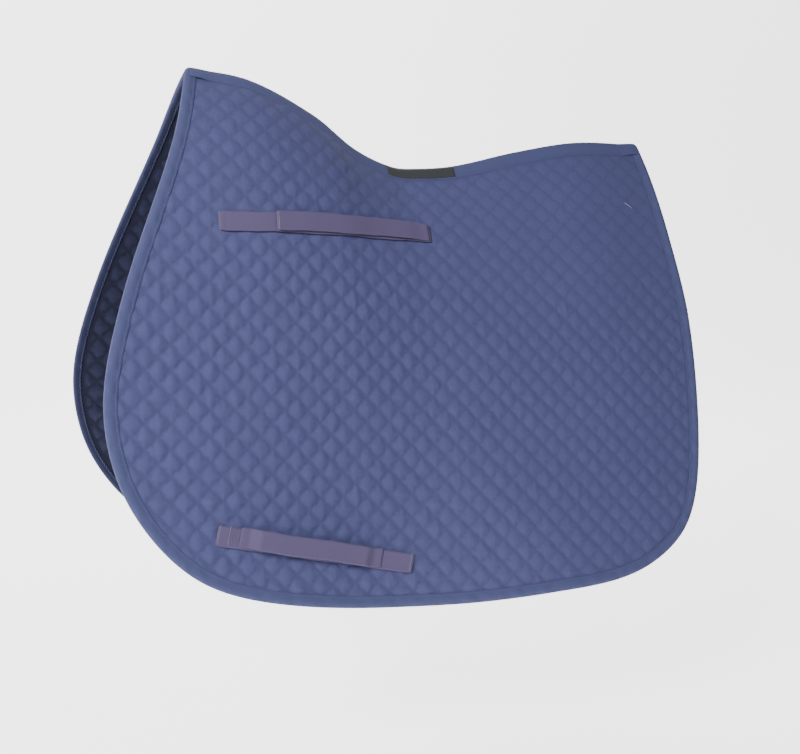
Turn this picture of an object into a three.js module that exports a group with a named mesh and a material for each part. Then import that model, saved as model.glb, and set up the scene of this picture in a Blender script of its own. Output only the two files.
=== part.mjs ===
// Contoured, quilted general-purpose saddle pad with touch-close billet straps and girth loops.
// Millimetres: +X runs to the tail, +Y to the off (right) side, +Z up. The origin lies under the
// spine at the lowest point of the seat, where the pad rests on the horse's back.
import * as THREE from "three";
import { mergeVertices } from "three/addons/utils/BufferGeometryUtils.js";

// Spine seam, seen from the side, and the near half's cut outline from the withers, round the hem,
// to the rear of the spine. Both are [x, height] on the half as it is cut, before it is bent.
const SPINE = [
  [-259, 111],
  [-190, 101],
  [-119, 67],
  [-73, 33],
  [-30, 14.5],
  [0, 12.5],
  [49, 16.5],
  [127, 33.5],
  [208, 46.5],
  [296, 46],
];
const OUTLINE = [
  [-259, 111],
  [-283, 20],
  [-346, -145],
  [-369, -250],
  [-350, -341],
  [-290, -417],
  [-200, -453],
  [-41, -475.5],
  [95, -475],
  [204, -462],
  [270, -419],
  [298, -335],
  [309, -180],
  [302, -70],
  [296, 46],
];

// How a half bends away from the spine: its slope below horizontal, in degrees, starts at the
// first value and settles to the second over the given length. It changes from front to rear.
const FRONT_BEND = { start: 39, end: 82, settle: 102 };
const REAR_BEND = { start: 52, end: 79, settle: 165 };
const BEND_FROM_X = -140;
const BEND_TO_X = 160;
const BEND_STEPS = 24;

// Quilted sandwich, from the outer face inwards.
const GAP = 0.3;
const LAYER_GAP = 0.6;
const TRIM_GAP = 0.9;
const COVER = 1.0;
const WADDING = 5.5;
const LINING = 1.0;
const SANDWICH = COVER + WADDING + LINING + 2 * LAYER_GAP;
const RIDGE_GAP = 0.9;
const MITRE_FADE = 20;

// Bindings, tapes and webbing.
const BINDING_WIDTH = 13;
const BINDING_THICKNESS = 0.9;
const EDGE_GAP = 0.7;
const EDGE_INSET = BINDING_THICKNESS + EDGE_GAP;
const TAPE_LIFT_RUN = { from: 24, to: 40 };
const SPINE_COLUMNS = 20;
const PANEL_ROWS = 14;
const ROW_SPREAD = 1.25;
const TAPE_HALF_WIDTH = 15;
const TAPE_THICKNESS = 0.8;
const WEBBING_WIDTH = 20;
const WEBBING = 1.2;
const TOUCH_TAPE = 0.8;
const TOUCH_TAPE_WIDTH = 16;
const LABEL = { column: 8, columns: 3, width: 12.5, thickness: 0.5, from: 1.8, lift: 0.4 };
const TACK = { length: 1.8, width: 18, thickness: 0.5 };

// Strap centre lines, [x, height] on the cut half, front end first.
const BILLET_LINE = { front: [-247, -68], rear: [-5, -76] };
const GIRTH_LINE = { front: [-266, -374], rear: [-65, -427] };
const FLAP = { front: 59, rear: 240 };
const HOOK = { front: 70, rear: 200 };
const LOOP_TAPE = { front: 62, rear: 215 };
const BAND = { front: 23, rear: 177, ramp: 12, foot: 8, rise: 2.6, lift: 0.9 };

const radians = THREE.MathUtils.degToRad;
const { lerp, smoothstep } = THREE.MathUtils;

// A smooth curve through [position, value] pairs: a cubic between each two, whose slope at a pair
// is that of the line between its neighbours.
function smoothThrough(pairs, at) {
  const last = pairs.length - 1;
  const p = THREE.MathUtils.clamp(at, pairs[0][0], pairs[last][0]);
  let i = 0;
  while (i < last - 1 && p > pairs[i + 1][0]) i += 1;
  const slope = (k) => {
    const before = pairs[Math.max(k - 1, 0)];
    const after = pairs[Math.min(k + 1, last)];
    return (after[1] - before[1]) / (after[0] - before[0]);
  };
  const span = pairs[i + 1][0] - pairs[i][0];
  const f = (p - pairs[i][0]) / span;
  const start = (1 + 2 * f) * (1 - f) ** 2 * pairs[i][1];
  const end = f * f * (3 - 2 * f) * pairs[i + 1][1];
  const lean = f * (1 - f) * span * ((1 - f) * slope(i) - f * slope(i + 1));
  return start + end + lean;
}

const spineHeight = (x) => smoothThrough(SPINE, x);

// The cut outline by distance along it, moved inwards by an inset.
const outlineStations = OUTLINE.reduce((list, [x, h], i) => {
  const [px, ph] = OUTLINE[Math.max(i - 1, 0)];
  const run = i ? list[i - 1].run + Math.hypot(x - px, h - ph) : 0;
  return [...list, { run, x, h }];
}, []);
const OUTLINE_LENGTH = outlineStations.at(-1).run;
const outlineX = outlineStations.map(({ run, x }) => [run, x]);
const outlineH = outlineStations.map(({ run, h }) => [run, h]);

function outlinePoint(run, inset) {
  const step = 1;
  const before = Math.max(run - step, 0);
  const after = Math.min(run + step, OUTLINE_LENGTH);
  const at = (r) => new THREE.Vector2(smoothThrough(outlineX, r), smoothThrough(outlineH, r));
  const along = at(after).sub(at(before)).normalize();
  const inwards = new THREE.Vector2(-along.y, along.x);
  return at(run).addScaledVector(inwards, inset);
}

// Slope of a half at a distance t down from the spine.
function slopeAt(x, t) {
  const s = smoothstep(x, BEND_FROM_X, BEND_TO_X);
  const start = lerp(FRONT_BEND.start, REAR_BEND.start, s);
  const end = lerp(FRONT_BEND.end, REAR_BEND.end, s);
  const settle = lerp(FRONT_BEND.settle, REAR_BEND.settle, s);
  return radians(end - (end - start) * Math.exp(-t / settle));
}

// A point of the near half: x, distance t down from the spine, and depth under the outer face.
// Next to the spine the layers are mitred, so that the halves meet in the plane y = 0.
function nearPoint(x, t, depth, ridgeGap = RIDGE_GAP) {
  const ridge = slopeAt(x, 0);
  const mitre = (depth * Math.sin(ridge) + ridgeGap) / Math.cos(ridge);
  const run = t + mitre * Math.exp(-t / MITRE_FADE);
  let outwards = 0;
  let drop = 0;
  for (let i = 0; i < BEND_STEPS; i += 1) {
    const slope = slopeAt(x, (run * (i + 0.5)) / BEND_STEPS);
    outwards += (Math.cos(slope) * run) / BEND_STEPS;
    drop += (Math.sin(slope) * run) / BEND_STEPS;
  }
  const slope = slopeAt(x, run);
  return new THREE.Vector3(
    x,
    depth * Math.sin(slope) - outwards,
    spineHeight(x) - drop - depth * Math.cos(slope),
  );
}

const nearPointAt = (x, height, depth) => nearPoint(x, spineHeight(x) - height, depth);

// A closed solid: a box whose three parameters, each 0 to 1, are carried to points by a function.
// The third runs from the outer face to the inner one.
function bentBox(countU, countV, pointAt) {
  const box = new THREE.BoxGeometry(1, 1, 1, countU, countV, 1);
  const place = box.getAttribute("position");
  for (let i = 0; i < place.count; i += 1) {
    const point = pointAt(place.getX(i) + 0.5, place.getY(i) + 0.5, place.getZ(i) + 0.5);
    place.setXYZ(i, point.x, point.y, point.z);
  }
  box.deleteAttribute("normal");
  box.deleteAttribute("uv");
  const solid = mergeVertices(box, 1e-4);
  solid.computeVertexNormals();
  return solid;
}

// One layer of the half: a patch blended between the spine and the three stretches of the outline.
const FRONT_CORNER = 0.33 * OUTLINE_LENGTH;
const REAR_CORNER = 0.7 * OUTLINE_LENGTH;

// Where the panel's rows and columns meet the outline, counted round it from the withers.
function panelStation(count) {
  const fromRear = 2 * PANEL_ROWS + SPINE_COLUMNS - count;
  if (count < PANEL_ROWS) return FRONT_CORNER * (count / PANEL_ROWS) ** ROW_SPREAD;
  if (fromRear < PANEL_ROWS) {
    return lerp(OUTLINE_LENGTH, REAR_CORNER, (fromRear / PANEL_ROWS) ** ROW_SPREAD);
  }
  return lerp(FRONT_CORNER, REAR_CORNER, (count - PANEL_ROWS) / SPINE_COLUMNS);
}

function panelLayer(outerDepth, innerDepth) {
  const stations = 2 * PANEL_ROWS + SPINE_COLUMNS;
  const front = (v) => outlinePoint(panelStation(v * PANEL_ROWS), EDGE_INSET);
  const rear = (v) => outlinePoint(panelStation(stations - v * PANEL_ROWS), EDGE_INSET);
  const hem = (u) => outlinePoint(lerp(FRONT_CORNER, REAR_CORNER, u), EDGE_INSET);
  const spine = (u) => {
    const x = lerp(front(0).x, rear(0).x, u);
    return new THREE.Vector2(x, spineHeight(x));
  };
  return bentBox(SPINE_COLUMNS, PANEL_ROWS, (u, row, w) => {
    const v = row ** ROW_SPREAD;
    const sides = front(row).multiplyScalar(1 - u).add(rear(row).multiplyScalar(u));
    const ends = spine(u).multiplyScalar(1 - v).add(hem(u).multiplyScalar(v));
    const top = front(0).multiplyScalar(1 - u).add(rear(0).multiplyScalar(u));
    const bottom = hem(0).multiplyScalar(1 - u).add(hem(1).multiplyScalar(u));
    const corners = top.multiplyScalar(1 - v).add(bottom.multiplyScalar(v));
    const flat = sides.add(ends).sub(corners);
    return nearPointAt(flat.x, Math.min(flat.y, spineHeight(flat.x)), lerp(outerDepth, innerDepth, w));
  });
}

// The binding is a U round the sandwich's edge. Each corner of the U is [inset, depth], outside
// surface first, then the surface against the sandwich.
function edgeBinding() {
  const outer = -TRIM_GAP - BINDING_THICKNESS;
  const inner = SANDWICH + TRIM_GAP + BINDING_THICKNESS;
  const outsideU = [
    [BINDING_WIDTH, outer],
    [BINDING_WIDTH / 2, outer],
    [1.5, outer],
    [0, outer + 1.5],
    [0, inner - 1.5],
    [1.5, inner],
    [BINDING_WIDTH / 2, inner],
    [BINDING_WIDTH, inner],
  ];
  const sandwichEdge = BINDING_THICKNESS;
  const insideU = outsideU.map(([inset, depth]) => [
    Math.max(inset, sandwichEdge),
    depth < SANDWICH / 2 ? -TRIM_GAP : SANDWICH + TRIM_GAP,
  ]);
  const spans = outsideU.length - 1;
  return bentBox(2 * PANEL_ROWS + SPINE_COLUMNS, spans, (u, v, w) => {
    const corner = Math.round(v * spans);
    const inset = lerp(outsideU[corner][0], insideU[corner][0], w);
    const depth = lerp(outsideU[corner][1], insideU[corner][1], w);
    const flat = outlinePoint(panelStation(u * (2 * PANEL_ROWS + SPINE_COLUMNS)), inset);
    return nearPointAt(flat.x, Math.min(flat.y, spineHeight(flat.x)), depth);
  });
}

// A tape folded over the spine, from one slope to the other. Its lift lets it pass over or under
// the ends of the edge bindings.
const TAPE_FROM_X = OUTLINE[0][0] + EDGE_INSET;
const TAPE_TO_X = OUTLINE.at(-1)[0] - EDGE_INSET;

function spineTape(outerDepth, innerDepth, endLift) {
  return bentBox(SPINE_COLUMNS, 4, (u, v, w) => {
    const x = lerp(TAPE_FROM_X, TAPE_TO_X, u);
    const fromEnd = Math.min(x - TAPE_FROM_X, TAPE_TO_X - x);
    const lift = endLift * (1 - smoothstep(fromEnd, TAPE_LIFT_RUN.from, TAPE_LIFT_RUN.to));
    const side = 2 * v - 1;
    const depth = lerp(outerDepth, innerDepth, w) + lift;
    const point = nearPoint(x, Math.abs(side) * TAPE_HALF_WIDTH, depth, 0);
    point.y *= Math.sign(side);
    return point;
  });
}

function spineLabel() {
  const depth = -TRIM_GAP - TAPE_THICKNESS - LABEL.lift;
  return bentBox(LABEL.columns, 1, (u, v, w) => {
    const column = LABEL.column + u * LABEL.columns;
    const x = lerp(TAPE_FROM_X, TAPE_TO_X, column / SPINE_COLUMNS);
    return nearPoint(x, LABEL.from + v * LABEL.width, depth - (1 - w) * LABEL.thickness);
  });
}

// Straps lie along a centre line on the cut half. `from` and `to` are distances along it from its
// front end, and `lift` is the height of the underside above the cover.
function lineLength(line) {
  return Math.hypot(line.rear[0] - line.front[0], line.rear[1] - line.front[1]);
}

function onLine(line, along, across) {
  const length = lineLength(line);
  const dx = (line.rear[0] - line.front[0]) / length;
  const dh = (line.rear[1] - line.front[1]) / length;
  return [line.front[0] + along * dx + across * dh, line.front[1] + along * dh - across * dx];
}

function sewnStrap(line, from, to, width, lift, thickness, count) {
  return bentBox(count, 2, (u, v, w) => {
    const [x, height] = onLine(line, lerp(from, to, u), (v - 0.5) * width);
    return nearPointAt(x, height, -lift - (1 - w) * thickness);
  });
}

// The plane that a free stretch of webbing lies in: x runs along the strap, y away from the pad
// and z down across the strap, from the middle of the stretch at a height over the cover.
function strapPlane(line, from, to, lift) {
  const at = (along, across) => nearPointAt(...onLine(line, along, across), -lift);
  const half = WEBBING_WIDTH / 2;
  const along = at(to, 0).sub(at(from, 0)).normalize();
  const across = at(from, half).sub(at(from, -half)).add(at(to, half)).sub(at(to, -half));
  const out = across.clone().cross(along).normalize();
  const down = along.clone().cross(out).normalize();
  const middle = at(from, 0).add(at(to, 0)).multiplyScalar(0.5);
  return new THREE.Matrix4().makeBasis(along, out, down).setPosition(middle);
}

// A flat or folded length of webbing: its side view, extruded across its width.
function flatWebbing(sideView, width, plane) {
  const shape = new THREE.Shape(sideView.map(([x, y]) => new THREE.Vector2(x, y)));
  const solid = new THREE.ExtrudeGeometry(shape, { depth: width, bevelEnabled: false });
  solid.translate(0, 0, -width / 2);
  solid.applyMatrix4(plane);
  return solid;
}

// The girth loop's band: two sewn feet, two ramps and a straight middle clear of the base strap.
function bandSideView() {
  const half = (BAND.rear - BAND.front) / 2;
  const shoulder = half - BAND.foot - BAND.ramp;
  const underside = [
    [-half, 0],
    [-half + BAND.foot, 0],
    [-shoulder, BAND.rise],
    [shoulder, BAND.rise],
    [half - BAND.foot, 0],
    [half, 0],
  ];
  const upper = underside.map(([x, y]) => [x, y + WEBBING]).reverse();
  return [...underside, ...upper];
}

const fabric = (color, roughness = 0.9) =>
  new THREE.MeshStandardMaterial({ color, roughness, metalness: 0 });
const MATERIALS = {
  cover: fabric(0x545f8c),
  wadding: fabric(0xe6e4de, 1),
  lining: fabric(0x3a3d59),
  binding: fabric(0x5a6492, 0.85),
  webbing: fabric(0x645b7c, 0.8),
  touchTape: fabric(0x4b4560, 0.95),
  thread: fabric(0xa9a5b8, 0.7),
  label: fabric(0x24252c, 0.6),
};

function piece(name, geometry, material) {
  const mesh = new THREE.Mesh(geometry, MATERIALS[material]);
  mesh.name = name;
  return mesh;
}

// Everything that one side carries, as [name, geometry, material].
function panelPieces() {
  const waddingTop = COVER + LAYER_GAP;
  const liningTop = waddingTop + WADDING + LAYER_GAP;
  return [
    ["outer_cover", panelLayer(0, COVER), "cover"],
    ["wadding", panelLayer(waddingTop, waddingTop + WADDING), "wadding"],
    ["lining", panelLayer(liningTop, liningTop + LINING), "lining"],
    ["edge_binding", edgeBinding(), "binding"],
  ];
}

function tack(line, along, lift) {
  const half = TACK.length / 2;
  return sewnStrap(line, along - half, along + half, TACK.width, lift, TACK.thickness, 1);
}

function billetStrapPieces() {
  const line = BILLET_LINE;
  const onBase = TRIM_GAP + WEBBING + GAP;
  const onLoop = onBase + TOUCH_TAPE + GAP;
  const onHook = onLoop + TOUCH_TAPE + GAP;
  const strap = (from, to, lift) => sewnStrap(line, from, to, WEBBING_WIDTH, lift, WEBBING, 14);
  const touchTape = (span, lift) =>
    sewnStrap(line, span.front, span.rear, TOUCH_TAPE_WIDTH, lift, TOUCH_TAPE, 12);
  return [
    ["billet_base_strap", strap(0, lineLength(line), TRIM_GAP), "webbing"],
    ["billet_loop_tape", touchTape(LOOP_TAPE, onBase), "touchTape"],
    ["billet_front_tack", tack(line, 6, onBase), "thread"],
    ["billet_flap", strap(FLAP.front, FLAP.rear, onHook), "webbing"],
    ["billet_hook_tape", touchTape(HOOK, onLoop), "touchTape"],
    ["billet_flap_tack", tack(line, FLAP.front + 6, onHook + WEBBING + GAP), "thread"],
  ];
}

function girthLoopPieces() {
  const line = GIRTH_LINE;
  const length = lineLength(line);
  const onBase = TRIM_GAP + WEBBING + GAP;
  const plane = strapPlane(line, BAND.front, BAND.rear, onBase + BAND.lift);
  const base = sewnStrap(line, 0, length, WEBBING_WIDTH, TRIM_GAP, WEBBING, 14);
  return [
    ["girth_base_strap", base, "webbing"],
    ["girth_loop_band", flatWebbing(bandSideView(), WEBBING_WIDTH, plane), "webbing"],
    ["girth_front_tack", tack(line, 3, onBase), "thread"],
    ["girth_middle_tack", tack(line, 16, onBase), "thread"],
    ["girth_rear_tack", tack(line, length - 6, onBase), "thread"],
  ];
}

const sidePieces = [...panelPieces(), ...billetStrapPieces(), ...girthLoopPieces()];

function side(prefix, mirror) {
  const group = new THREE.Group();
  sidePieces.forEach(([name, geometry, material]) => {
    group.add(piece(`${prefix}_${name}`, geometry, material));
  });
  group.scale.y = mirror;
  return group;
}

const spine = new THREE.Group();
const overBinding = TRIM_GAP + BINDING_THICKNESS;
const outerTape = spineTape(-TRIM_GAP - TAPE_THICKNESS, -TRIM_GAP, -overBinding);
const innerDepth = SANDWICH + TRIM_GAP;
const innerTape = spineTape(innerDepth, innerDepth + TAPE_THICKNESS, overBinding);
spine.add(piece("spine_outer_tape", outerTape, "binding"));
spine.add(piece("spine_inner_tape", innerTape, "binding"));
spine.add(piece("spine_label", spineLabel(), "label"));

const saddlePad = new THREE.Group();
saddlePad.add(spine, side("left", 1), side("right", -1));

export default saddlePad;
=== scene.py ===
import bpy
import numpy as np
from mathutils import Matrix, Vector


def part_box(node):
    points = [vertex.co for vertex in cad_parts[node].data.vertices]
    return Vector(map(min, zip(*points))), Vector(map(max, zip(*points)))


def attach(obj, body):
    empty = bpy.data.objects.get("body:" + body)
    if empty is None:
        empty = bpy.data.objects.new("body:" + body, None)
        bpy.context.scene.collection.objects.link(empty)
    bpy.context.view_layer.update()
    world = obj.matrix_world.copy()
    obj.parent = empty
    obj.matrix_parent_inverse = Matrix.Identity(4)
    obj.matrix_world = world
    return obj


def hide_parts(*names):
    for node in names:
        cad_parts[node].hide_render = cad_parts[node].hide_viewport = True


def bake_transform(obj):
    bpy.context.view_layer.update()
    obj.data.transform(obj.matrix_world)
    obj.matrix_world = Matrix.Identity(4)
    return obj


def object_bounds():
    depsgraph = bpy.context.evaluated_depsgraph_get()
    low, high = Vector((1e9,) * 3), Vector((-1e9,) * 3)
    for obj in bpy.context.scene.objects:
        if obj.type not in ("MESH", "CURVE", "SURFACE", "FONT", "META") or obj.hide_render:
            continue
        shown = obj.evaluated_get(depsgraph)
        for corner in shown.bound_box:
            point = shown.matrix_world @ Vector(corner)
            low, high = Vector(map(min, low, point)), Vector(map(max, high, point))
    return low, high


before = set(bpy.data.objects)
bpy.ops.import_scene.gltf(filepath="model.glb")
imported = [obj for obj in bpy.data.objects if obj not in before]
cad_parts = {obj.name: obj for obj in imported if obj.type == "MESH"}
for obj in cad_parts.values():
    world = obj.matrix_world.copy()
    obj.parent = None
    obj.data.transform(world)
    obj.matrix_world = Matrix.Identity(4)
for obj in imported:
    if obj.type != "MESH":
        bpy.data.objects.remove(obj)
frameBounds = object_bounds()
scene = bpy.context.scene
mm = .001
print("frame loaded")


# The near half is cut flat as (x, height) and then bent away from the spine: its slope below
# horizontal starts at one angle and settles to another, and both change from front to rear.
half = {
    "spine": [(-259, 111), (-190, 101), (-119, 67), (-73, 33), (-30, 14.5), (0, 12.5), (49, 16.5),
              (127, 33.5), (208, 46.5), (296, 46)],
    "outline": [(-259, 111), (-283, 20), (-346, -145), (-369, -250), (-350, -341), (-290, -417),
                (-200, -453), (-41, -475.5), (95, -475), (204, -462), (270, -419), (298, -335),
                (309, -180), (302, -70), (296, 46)],
    "frontBend": (39, 82, 102 * mm),
    "rearBend": (52, 79, 165 * mm),
    "bendRun": (-140 * mm, 160 * mm),
    "bendSteps": 24,
    "thickness": 8.7 * mm,
    "ridgeGap": .9 * mm,
    "mitreFade": 20 * mm,
    "wave": 1.3 * mm,
}


def smoothstep(low, high, at):
    f = np.clip((at - low) / (high - low), 0, 1)
    return f * f * (3 - 2 * f)


def smoothThrough(pairs, at):
    # a cubic between each two pairs; its slope at a pair is that of the line joining its neighbours
    place, value = np.array(pairs, float).T
    at = np.clip(at, place[0], place[-1])
    number = np.arange(len(place))
    before, after = np.maximum(number - 1, 0), np.minimum(number + 1, len(place) - 1)
    slope = (value[after] - value[before]) / (place[after] - place[before])
    i = np.clip(np.searchsorted(place, at) - 1, 0, len(place) - 2)
    span = place[i + 1] - place[i]
    f = (at - place[i]) / span
    ends = (1 + 2 * f) * (1 - f) ** 2 * value[i] + f * f * (3 - 2 * f) * value[i + 1]
    return ends + f * (1 - f) * span * ((1 - f) * slope[i] - f * slope[i + 1])


spinePairs = np.array(half["spine"]) * mm
outlinePairs = np.array(half["outline"]) * mm
outlineRun = np.concatenate([[0], np.cumsum(np.hypot(*np.diff(outlinePairs, axis=0).T))])
outlineLength = outlineRun[-1]


def spineHeight(x):
    return smoothThrough(spinePairs, x)


def outlinePoint(run, inset):
    # the cut edge by distance round it from the withers, moved inwards
    def at(r):
        r = np.clip(r, 0, outlineLength)
        return np.stack([smoothThrough(np.c_[outlineRun, outlinePairs[:, k]], r) for k in (0, 1)], -1)

    along = at(run + mm) - at(run - mm)
    along /= np.linalg.norm(along, axis=-1, keepdims=True)
    inwards = np.stack([-along[..., 1], along[..., 0]], -1)
    return at(run) + inwards * np.asarray(inset)[..., None]


def slopeAt(x, t):
    s = smoothstep(*half["bendRun"], x)
    start, end, settle = ((1 - s) * a + s * b for a, b in zip(half["frontBend"], half["rearBend"]))
    return np.radians(end - (end - start) * np.exp(-t / settle))


def bentPoint(x, t, depth, ridgeGap):
    # x, distance t down from the spine and depth under the outer face; outwards and downwards runs
    # are the sums of the slope's cosine and sine, and next to the spine the layers are mitred
    ridge = slopeAt(x, 0 * x)
    mitre = (depth * np.sin(ridge) + ridgeGap) / np.cos(ridge)
    run = t + mitre * np.exp(-t / half["mitreFade"])
    share = (np.arange(half["bendSteps"]) + .5) / half["bendSteps"]
    slopes = slopeAt(x[..., None], run[..., None] * share)
    outwards, drop = np.cos(slopes).mean(-1) * run, np.sin(slopes).mean(-1) * run
    slope = slopeAt(x, run)
    return np.stack([x, depth * np.sin(slope) - outwards, spineHeight(x) - drop - depth * np.cos(slope)], -1)


def lay(flat):
    # soft unevenness of the hanging cloth: four crossing sine waves that grow away from the spine
    x, h = flat[..., 0], flat[..., 1]
    wave = (np.sin(x / .083 + 1.1) * np.sin(h / .121 + .4) + .5 * np.sin((x + .6 * h) / .052 + 2.3)
            + .3 * np.sin((x - 1.4 * h) / .034))
    return half["wave"] * smoothstep(.03, .25, spineHeight(x) - h) * wave


def onHalf(flat, depth, ridgeGap=half["ridgeGap"]):
    flat = np.asarray(flat, float)
    x = flat[..., 0]
    t = np.maximum(spineHeight(x) - flat[..., 1], 0)
    return bentPoint(x, t, depth + lay(flat), ridgeGap)


def gridQuads(countU, countV):
    corner = np.arange(countU * countV).reshape(countU, countV)
    return np.stack([corner[:-1, :-1], corner[1:, :-1], corner[1:, 1:], corner[:-1, 1:]], -1).reshape(-1, 4)


def shell(upper, lower, quads):
    # two faces of the same net, joined round the net's rim, facing outwards
    upper, lower, count = upper.reshape(-1, 3), lower.reshape(-1, 3), len(upper.reshape(-1, 3))
    edges = np.concatenate([quads[:, [k, (k + 1) % 4]] for k in range(4)])
    _, first, uses = np.unique(np.sort(edges, 1), axis=0, return_index=True, return_counts=True)
    rim = edges[first[uses == 1]]
    sides = np.c_[rim[:, 1], rim[:, 0], rim[:, 0] + count, rim[:, 1] + count]
    points = np.concatenate([upper, lower])
    faces = np.concatenate([quads, quads[:, ::-1] + count, sides])
    a, b, c, d = (points[faces[:, k]] for k in range(4))
    volume = np.einsum("ij,ij->", a, np.cross(b, c) + np.cross(c, d))
    return points, faces if volume > 0 else faces[:, ::-1]


def mirrored(points, quads):
    return points * (1, -1, 1), quads[:, ::-1]


def addPiece(name, points, quads, material, uvs=None, values=None):
    mesh = bpy.data.meshes.new(name)
    mesh.from_pydata(points.tolist(), [], quads.tolist())
    corners = quads.ravel()
    for label, perPoint in (uvs or {}).items():
        mesh.uv_layers.new(name=label).data.foreach_set("uv", perPoint[corners].astype(np.float32).ravel())
    for label, perPoint in (values or {}).items():
        mesh.attributes.new(label, "FLOAT", "POINT").data.foreach_set("value", perPoint.astype(np.float32))
    mesh.shade_smooth()
    mesh.materials.append(material)
    piece = bpy.data.objects.new(name, mesh)
    scene.collection.objects.link(piece)
    return piece


def feed(tree, sockets, values):
    # each value is a constant or another node's output
    for key, value in values.items():
        if isinstance(value, bpy.types.NodeSocket):
            tree.links.new(value, sockets[key])
        else:
            sockets[key].default_value = value


def addNode(tree, kind, inputs=None, **settings):
    node = tree.nodes.new(kind)
    for key, value in settings.items():
        setattr(node, key, value)
    feed(tree, node.inputs, inputs or {})
    return node


def mathNode(tree, operation, a, b=0., c=0.):
    return addNode(tree, "ShaderNodeMath", {0: a, 1: b, 2: c}, operation=operation).outputs[0]


def shaderGroup(name, inputs, outputs):
    tree = bpy.data.node_groups.new(name, "ShaderNodeTree")
    for label, kind in inputs:
        tree.interface.new_socket(label, in_out="INPUT", socket_type="NodeSocket" + kind)
    for label, kind in outputs:
        tree.interface.new_socket(label, in_out="OUTPUT", socket_type="NodeSocket" + kind)
    return tree, tree.nodes.new("NodeGroupInput").outputs, tree.nodes.new("NodeGroupOutput").inputs


def useGroup(tree, group, **inputs):
    node = tree.nodes.new("ShaderNodeGroup")
    node.node_tree = group
    feed(tree, node.inputs, inputs)
    return node.outputs


def srgb(red, green, blue):
    shown = np.array([red, green, blue]) / 255
    linear = np.where(shown <= .04045, shown / 12.92, ((shown + .055) / 1.055) ** 2.4)
    return (*linear.tolist(), 1)


def noiseOf(tree, vector, scale, detail):
    return addNode(tree, "ShaderNodeTexNoise", {"Vector": vector, "Scale": scale, "Detail": detail}).outputs[0]


def weaveGroup():
    # crossing threads as a product of two sines, made uneven by noise
    tree, given, result = shaderGroup(
        "weave", [("Vector", "Vector"), ("Density", "Float")], [("Height", "Float")])
    split = addNode(tree, "ShaderNodeSeparateXYZ", {0: given["Vector"]}).outputs
    warp, weft = (
        mathNode(tree, "SINE", mathNode(tree, "MULTIPLY", split[k], given["Density"])) for k in (0, 1))
    crossed = mathNode(tree, "MULTIPLY", warp, weft)
    tree.links.new(mathNode(tree, "ADD", crossed, noiseOf(tree, given["Vector"], 900., 2.)), result["Height"])
    return tree


def tintGroup():
    # broad and fine unevenness of a dyed cloth, as a brightness about one
    tree, given, result = shaderGroup(
        "clothTint", [("Vector", "Vector"), ("Color", "Color"), ("Amount", "Float")], [("Color", "Color")])
    broad, fine = (noiseOf(tree, given["Vector"], scale, 3.) for scale in (9., 420.))
    both = mathNode(tree, "SUBTRACT", mathNode(tree, "ADD", broad, fine), 1.)
    value = mathNode(tree, "MULTIPLY_ADD", both, given["Amount"], 1.)
    tinted = addNode(tree, "ShaderNodeHueSaturation", {"Value": value, "Color": given["Color"]}).outputs[0]
    tree.links.new(tinted, result["Color"])
    return tree


def quiltGroup():
    # machine stitches along the quilting lines, from a position counted in cells both ways
    tree, given, result = shaderGroup(
        "quiltStitches", [("Cells", "Vector"), ("PerCell", "Float")], [("Mask", "Float"), ("Line", "Float")])
    split = addNode(tree, "ShaderNodeSeparateXYZ", {0: given["Cells"]}).outputs
    masks, lines = [], []
    for across, along in ((0, 1), (1, 0)):
        off = mathNode(tree, "PINGPONG", split[across], .5)
        line = addNode(tree, "ShaderNodeMapRange", {0: off, 1: .03, 2: .014}).outputs[0]
        dash = mathNode(tree, "PINGPONG", mathNode(tree, "MULTIPLY", split[along], given["PerCell"]), .5)
        shown = addNode(tree, "ShaderNodeMapRange", {0: dash, 1: .1, 2: .2}).outputs[0]
        masks.append(mathNode(tree, "MULTIPLY", line, shown))
        lines.append(addNode(tree, "ShaderNodeMapRange", {0: off, 1: .075, 2: .0}).outputs[0])
    tree.links.new(mathNode(tree, "MAXIMUM", *masks), result["Mask"])
    tree.links.new(mathNode(tree, "MAXIMUM", *lines), result["Line"])
    return tree


def puffShadeGroup():
    # painted shade darkens each groove and a painted highlight lightens each crown
    tree, given, result = shaderGroup(
        "puffShadeAndHighlight", [("Puff", "Float"), ("Color", "Color"), ("Groove", "Float"), ("Crown", "Float")],
        [("Color", "Color")])
    grooveShadeMask = addNode(tree, "ShaderNodeMapRange", {0: given["Puff"], 1: .35, 2: 0.}).outputs[0]
    low = mathNode(tree, "MULTIPLY", grooveShadeMask, given["Groove"])
    high = mathNode(tree, "MULTIPLY", given["Puff"], given["Crown"])
    value = mathNode(tree, "ADD", mathNode(tree, "SUBTRACT", 1., low), high)
    shaded = addNode(tree, "ShaderNodeHueSaturation", {"Value": value, "Color": given["Color"]}).outputs[0]
    tree.links.new(shaded, result["Color"])
    return tree


def ribGroup():
    # ribs across a webbing, along its first coordinate, with finer threads along its second
    tree, given, result = shaderGroup(
        "ribs", [("Vector", "Vector"), ("Density", "Float")], [("Height", "Float")])
    split = addNode(tree, "ShaderNodeSeparateXYZ", {0: given["Vector"]}).outputs
    rib = mathNode(tree, "SINE", mathNode(tree, "MULTIPLY", split[0], given["Density"]))
    finer = mathNode(tree, "MULTIPLY", given["Density"], 1.7)
    thread = mathNode(tree, "SINE", mathNode(tree, "MULTIPLY", split[1], finer))
    tree.links.new(mathNode(tree, "MULTIPLY_ADD", thread, .45, rib), result["Height"])
    return tree


weave, clothTint, quiltStitches, puffShadeAndHighlight, ribs = (
    weaveGroup(), tintGroup(), quiltGroup(), puffShadeGroup(), ribGroup())


def fabricMaterial(name):
    material = bpy.data.materials.new(name)
    material.use_nodes = True
    tree = material.node_tree
    tree.nodes.clear()
    principled = tree.nodes.new("ShaderNodeBsdfPrincipled")
    output = tree.nodes.new("ShaderNodeOutputMaterial")
    tree.links.new(principled.outputs[0], output.inputs[0])
    return material, tree, principled


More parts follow.
